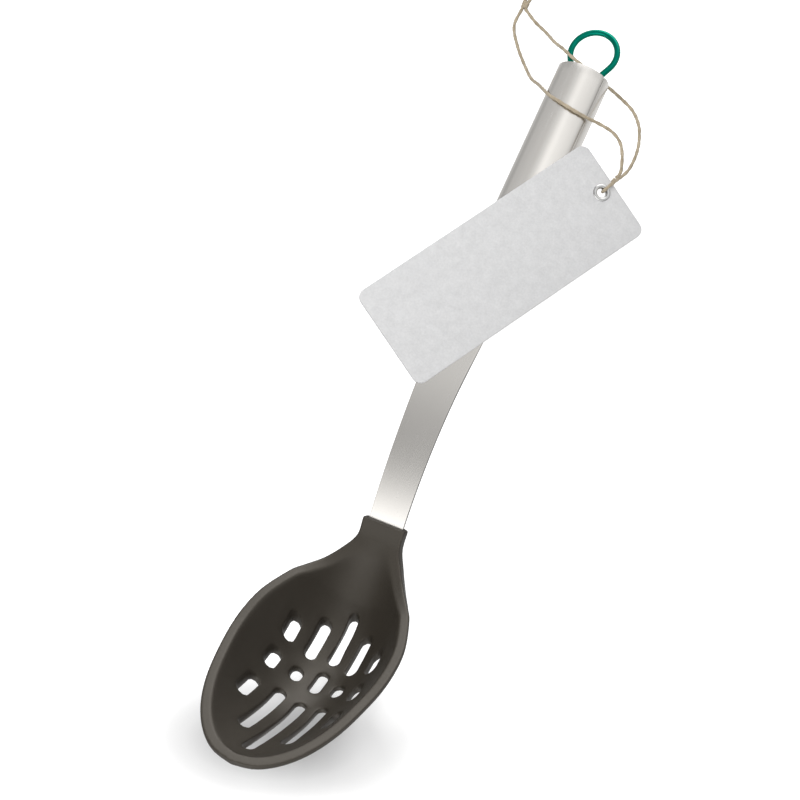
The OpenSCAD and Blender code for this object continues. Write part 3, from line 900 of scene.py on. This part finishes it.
def bowl_ring(k):
    """Section of the moulding at place k: one edge, the inside, the other edge, the outside."""
    place = (BOWL_ORIGIN + ahead(BOWL_PITCH) * along(RIM_ALONG_SHARES, k) * BOWL_L
             + above(BOWL_PITCH) * along(RIM_HEIGHT_SHARES, k) * BOWL_L)
    a = BOWL_PITCH - NECK_TURN * max(0, along(TURN_SHARES, k))
    up = above(a)
    collar = max(0, along(COLLAR_SHARES, k))
    half_w = max(LEAST_HALF_W, along(BOWL_WIDTH_SHARES, k) * BOWL_W / 2)
    depth = max(0, along(BOWL_DEPTH_SHARES, k)) * BOWL_DEPTH
    floor_t = mix(BOWL_WALL, COLLAR_T, collar)
    side = max(0, along(SIDE_SHARES, k))
    edge = mix(RIM_H, COLLAR_SIDE, side)
    lean = max(-1, min(1, along(LEAN_SHARES, k)))
    across = math.sqrt(1 - lean * lean)
    band = min(RIM_W, half_w * BAND_SHARE / max(across, NEARLY_0))
    in_w = half_w - band * across
    in_place = place + ahead(a) * RIM_W * lean
    out_power = FLOOR_POWER + COLLAR_POWER * side * side
    x_axis = np.array([1.0, 0, 0])
    corner = [(-half_w + RIM_CORNER, 0.0), (-half_w, -RIM_CORNER)]
    points = [place + x_axis * x + up * z for x, z in reversed(corner)]
    for i in range(-BOWL_POINTS, BOWL_POINTS + 1):
        u = i / BOWL_POINTS
        drop = depth * (1 - abs(u) ** FLOOR_POWER)
        points.append(in_place + x_axis * in_w * u + up * rolled_in(drop, depth))
    points += [place - x_axis * x + up * z for x, z in corner]
    for i in range(UNDER_POINTS, -UNDER_POINTS - 1, -1):
        u = i / UNDER_POINTS
        drop = edge + (depth + floor_t - edge) * (1 - abs(u) ** out_power)
        points.append(place + x_axis * half_w * u - up * drop)
    return points


def inside_height(x, share):
    """Height of the bowl's inside from the rim (below 0), at x and this share of its length."""
    k = np.interp(share, INSIDE_ALONG_SHARES, INSIDE_PLACES)
    in_w = along(BOWL_WIDTH_SHARES, k) * BOWL_W / 2 - RIM_W
    depth = along(BOWL_DEPTH_SHARES, k) * BOWL_DEPTH
    return -depth * (1 - min(abs(x) / in_w, 1) ** FLOOR_POWER)


def slot_outline(column, start, end, draft):
    """The slot's outline seen from above, drawn in by the draft."""
    turns = np.linspace(0, math.pi, 13)
    half, r = SLOT_W / 2, SLOT_W / 2 - draft
    x0 = column * COLUMN_PITCH
    return ([(x0 + r * math.cos(a), -start * BOWL_L - half + r * math.sin(a)) for a in turns]
            + [(x0 - r * math.cos(a), -end * BOWL_L + half - r * math.sin(a)) for a in turns])


def slot_prism(column, start, end):
    """The slot as an upright bar with round ends, which narrows where it goes into the wall."""
    wide = slot_outline(column, start, end, 0)
    narrow = slot_outline(column, start, end, SLOT_DRAFT)
    inside = [inside_height(x, -y / BOWL_L) for x, y in wide]
    points = [(x, y, -BOWL_DEPTH - 2 * BOWL_WALL) for x, y in narrow]
    points += [(x, y, z - SLOT_DRAFT_DEPTH) for (x, y), z in zip(narrow, inside)]
    points += [(x, y, z) for (x, y), z in zip(wide, inside)]
    points += [(x, y, SLOT_TOP) for x, y in wide]
    return turned(points, -BOWL_PITCH, 0) + BOWL_ORIGIN, closed_faces(4, len(wide))


def slot_list():
    """Every slot: those of the list, and their mirror images left of the middle line."""
    for column, start, end in SLOT_SHARES:
        yield column, start, end
        if column:
            yield -column, start, end


def dish(points, normals):
    """Points near a slot on the bowl's inside, sunk into a shallow dish round it."""
    local = turned(points - BOWL_ORIGIN, BOWL_PITCH, 0)
    facing = turned(normals, BOWL_PITCH, 0)[:, 2]
    near = np.full(len(points), FAR)
    for column, start, end in slot_list():
        dx = local[:, 0] - column * COLUMN_PITCH
        y_start = -start * BOWL_L - SLOT_W / 2
        y_end = -end * BOWL_L + SLOT_W / 2
        dy = np.maximum(np.maximum(local[:, 1] - y_start, y_end - local[:, 1]), 0)
        near = np.minimum(near, np.hypot(dx, dy) - SLOT_W / 2)
    sunk = DISH_DEPTH * (1 - smooth(np.maximum(near, 0) / DISH_W)) * smooth(facing * DISH_FADE)
    return points - normals * sunk[:, None]


def slot_tool():
    """All the slots' bars as one solid, to cut the bowl with."""
    points, faces = [], []
    for slot in slot_list():
        bar, sides = slot_prism(*slot)
        faces += [tuple(len(points) + i for i in side) for side in sides]
        points += list(bar)
    tool = solid("slot_tool", points, faces)
    outward(tool)
    return tool


def add_bowl():
    rings = [bowl_ring(k) for k in SECTION_PLACES]
    n = len(rings[0])
    faces = ring_faces(len(rings), n) + folded_end(0, n) + folded_end((len(rings) - 1) * n, n)
    bowl = solid("bowl_of_nylon", np.concatenate(rings), faces)
    outward(bowl)
    cut(bowl, slot_tool())
    modify(bowl, "REMESH", mode="VOXEL", voxel_size=VOXEL * MM)
    modify(bowl, "SMOOTH", factor=0.5, iterations=7)
    settle(bowl, NO_CREASE)
    mesh = bowl.data
    points = np.empty(3 * len(mesh.vertices))
    normals = np.empty(3 * len(mesh.vertices))
    mesh.vertices.foreach_get("co", points)
    mesh.vertices.foreach_get("normal", normals)
    points = lay(dish(points.reshape(-1, 3) / MM, normals.reshape(-1, 3))) * MM
    mesh.vertices.foreach_set("co", points.ravel())
    mesh.update()
    return bowl


dress(add_bowl(), NYLON, "nylon", "spoon", "bowl")


# Tag and eyelet

EDGE_R = 0.35
EDGE_STEPS = 4
CORNER_POINTS = 9
HOLE_R = EYELET_BORE_R + EYELET_T
HOLE_SIDES = 48
HOLE_ENDS = (-1, 3)
EYELET_SIDES = 72


def tag_outline(inset, height):
    """The tag's outline with its round corners, drawn in by the inset."""
    r = TAG_CORNER_R - inset
    points = []
    for quarter, (sx, sy) in enumerate(((1, 1), (-1, 1), (-1, -1), (1, -1))):
        cx, cy = sx * (TAG_W / 2 - TAG_CORNER_R), sy * (TAG_L / 2 - TAG_CORNER_R)
        for a in np.linspace(0, 90, CORNER_POINTS):
            turn = math.radians(90 * quarter + a)
            points.append((cx + r * math.cos(turn), cy + r * math.sin(turn), height))
    return points


def add_tag():
    bends = np.linspace(0, math.pi / 2, EDGE_STEPS)
    rings = [tag_outline(EDGE_R * (1 - math.sin(a)), EDGE_R * (1 - math.cos(a)))
             for a in bends]
    rings += [tag_outline(EDGE_R * (1 - math.cos(a)), TAG_T - EDGE_R * (1 - math.sin(a)))
              for a in bends]
    faces = closed_faces(len(rings), len(rings[0]))
    tag = solid("card_tag", on_tag(np.concatenate(rings)), faces)
    outward(tag)
    bore = [(HOLE_R * math.cos(a), HOLE_R * math.sin(a), z) for z in HOLE_ENDS
            for a in np.arange(HOLE_SIDES) * 2 * math.pi / HOLE_SIDES]
    hole = solid("hole_tool", at_eyelet(bore), closed_faces(2, HOLE_SIDES))
    outward(hole)
    cut(tag, hole)
    return tag


def rolled(top, side, r_in, r_out, height):
    """Half of an eyelet's profile: the flange rolled over from the bore to its rim."""
    middle, half = (r_in + r_out) / 2, (r_out - r_in) / 2
    return [(middle - half * math.cos(a), top + side * height * math.sin(a))
            for a in np.linspace(0, math.pi, 11)]


def add_eyelet():
    low = -2 * EYELET_T
    roll = rolled(low, -1, EYELET_BORE_R, EYELET_ROLL_R, EYELET_ROLL)
    profile = rolled(TAG_T, 1, EYELET_BORE_R, EYELET_R, EYELET_FLANGE)
    profile += [(HOLE_R, TAG_T - EYELET_CLEAR), (HOLE_R, low), *reversed(roll)]
    eyelet = lathe("rolled_eyelet", profile, EYELET_SIDES, at_eyelet)
    outward(eyelet)
    return eyelet


def add_washer():
    r_in, r_out = HOLE_R + EYELET_CLEAR, EYELET_R + EYELET_T
    profile = [(r_in, 0), (r_out - 0.1, 0), (r_out, -0.1), (r_out - 0.05, -0.25),
               (r_out - WASHER_SLOPE_W, -EYELET_T), (r_in, -EYELET_T)]
    washer = lathe("eyelet_ring", profile, EYELET_SIDES, at_eyelet)
    outward(washer)
    return washer


tag = dress(add_tag(), CARD, "tag_card", "tag", "tag")
# The photo's steel mirrors none of the card beside it
tag.visible_glossy = False
dress(add_eyelet(), NICKEL, "eyelet_metal", "tag", "eyelet")
dress(add_washer(), NICKEL, "eyelet_metal", "tag", "eyelet_washer")


# Floor, world and lamps

FLOOR_HALF = 3000
FLOOR_GREY = 0.62
# The soft oval of shadow under the bowl: its middle, half lengths and turn
SHADE_AT = (-0.013, -0.163, 0)
SHADE_HALF = (0.057, 0.0245, 1)
SHADE_TURN = 20.0
# How far the floor is lifted to white, by the distance from the oval's middle (1 at its edge)
FLOOR_LIFT = [(0, 0.0), (0.3, 0.06), (0.5, 0.18), (0.6, 0.25), (0.7, 0.33), (0.8, 0.38),
              (0.9, 0.46), (1.0, 0.55), (1.15, 0.70), (1.3, 0.95), (1.6, 0.95)]
# How bright the steel mirrors the floor, by the floor's x
FLOOR_IN_STEEL = [(-0.15, 0.56), (-0.07, 0.54), (-0.04, 0.68), (-0.02, 0.92), (0, 1.1),
                  (0.02, 0.95), (0.04, 0.68), (0.06, 0.56), (0.08, 0.65), (0.11, 0.88),
                  (0.15, 0.95)]
# Share of that by the floor's y, low beside the shaft so that the shaft's edge is dark
FLOOR_BESIDE_SHAFT = [(-0.1, 1.0), (-0.075, 1.0), (-0.055, 0.3), (0.01, 0.3), (0.04, 1.0),
                      (0.1, 1.0)]
# The studio's brightness by the direction's x, and by its y
STUDIO_ACROSS = [(-1, 0.58), (-0.6, 0.71), (-0.46, 0.70), (-0.42, 0.62), (-0.37, 0.72),
                 (-0.23, 0.79), (-0.03, 0.90), (0.17, 1.24), (0.36, 1.36), (0.54, 1.20),
                 (0.8, 1.09), (1, 0.92)]
STUDIO_ALONG = [(-1, 1.1), (-0.6, 1.15), (-0.46, 1.05), (-0.36, 0.9), (-0.29, 0.72),
                (-0.2, 0.60), (0.0, 0.81), (0.2, 1.12), (0.36, 1.27), (0.44, 1.0), (0.54, 0.8),
                (0.64, 0.85), (0.78, 0.95), (1, 1.0)]
# The panels at both ends of the studio, by the direction's y, and by its x
PANELS_ALONG = [(-1, 2.7), (-0.6, 2.35), (-0.46, 0.98), (-0.36, 0.36), (-0.29, 0.12), (-0.2, 0),
                (0.5, 0), (0.64, 0.5), (0.78, 4.0), (0.9, 6.2), (1, 6.2)]
PANELS_ACROSS = [(-1, 0), (-0.68, 0.1), (-0.52, 0.6), (-0.38, 1.0), (-0.2, 1.0), (0, 0.6),
                 (0.3, 0.15), (1, 0)]
# Share of the studio's brightness that lights what isn't a mirror
STUDIO_ON_PAINT = 0.30
BACKDROP = (1.2, 1.2, 1.2)
LAMP_SIZE = 0.45
LAMPS_AIM = Vector((0, -0.1, 0))


def add_floor():
    f = Finish("pale_floor")
    oval = f.node("ShaderNodeMapping", {"vector_type": "TEXTURE"}, {
        "Vector": f.place, "Location": SHADE_AT, "Scale": SHADE_HALF,
        "Rotation": (0, 0, math.radians(SHADE_TURN))})
    out = f.node("ShaderNodeVectorMath", {"operation": "LENGTH"}, [oval], out="Value")
    in_steel = f.curve(f.axis("X"), FLOOR_IN_STEEL) * f.curve(f.axis("Y"), FLOOR_BESIDE_SHAFT)
    lift = f.curve(out, FLOOR_LIFT)
    f.set(Base_Color=f.colours(f.ray("Glossy"), (FLOOR_GREY,) * 3, (0, 0, 0)),
          Roughness=1.0, Specular_IOR_Level=0.0, Emission_Strength=1.0,
          Emission_Color=lift * f.ray("Camera") + in_steel * f.ray("Glossy"))
    corners = [(-FLOOR_HALF, -FLOOR_HALF, 0), (FLOOR_HALF, -FLOOR_HALF, 0),
               (FLOOR_HALF, FLOOR_HALF, 0), (-FLOOR_HALF, FLOOR_HALF, 0)]
    floor = solid("floor", corners, [(0, 1, 2, 3)])
    floor.data.materials.append(f.material)


def add_world():
    world = bpy.data.worlds.new("studio")
    bpy.context.scene.world = world
    world.use_nodes = True
    sky = Nodes(world.node_tree, "Generated")
    x, y = sky.axis("X"), sky.axis("Y")
    panels = sky.curve(y, PANELS_ALONG) * sky.curve(x, PANELS_ACROSS)
    studio = sky.curve(x, STUDIO_ACROSS) * (sky.curve(y, STUDIO_ALONG) + panels)
    studio = studio * (STUDIO_ON_PAINT + (1 - STUDIO_ON_PAINT) * sky.ray("Glossy"))
    background = world.node_tree.nodes["Background"]
    sky.put(background.inputs["Color"], sky.colours(sky.ray("Camera"), studio, BACKDROP))


def add_lamp(name, at, watts):
    data = bpy.data.lights.new(name, "AREA")
    data.size = LAMP_SIZE
    data.energy = watts
    lamp = bpy.data.objects.new(name, data)
    lamp.visible_glossy = False
    bpy.context.scene.collection.objects.link(lamp)
    aim = (LAMPS_AIM - Vector(at)).to_track_quat("-Z", "Y")
    lamp.matrix_world = Matrix.Translation(at) @ aim.to_matrix().to_4x4()


add_floor()
add_world()
add_lamp("softbox_left", (-0.38, 0.0, 0.92), 3.9)
add_lamp("softbox_right", (0.38, 0.0, 0.92), 3.5)

bpy.context.scene.view_settings.view_transform = "Standard"
